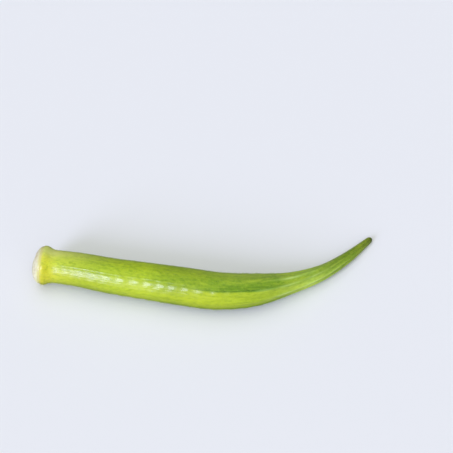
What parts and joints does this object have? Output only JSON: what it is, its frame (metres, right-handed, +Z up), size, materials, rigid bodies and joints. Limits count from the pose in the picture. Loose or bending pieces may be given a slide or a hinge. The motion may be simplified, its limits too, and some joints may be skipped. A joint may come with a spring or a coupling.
{
  "type": "okra pod",
  "caption": "Slender ridged seed pod with a flared, cut cap end and a curved, tapering tail, lying on its side.",
  "frame": {"origin": "on the surface that the pod lies on, under the middle of its own box", "axes": "+X along the pod from the cut cap end to the tail, +Z up, the pod bows towards -Y"},
  "size_m": [0.1624, 0.049, 0.0181],
  "materials": {
    "pod_skin": "fresh green plant skin with a soft waxy sheen, fine lengthwise ribs and short pale down"
  },
  "bodies": {
    "root": {"okra_pod": "pod_skin"}
  },
  "joints": []
}
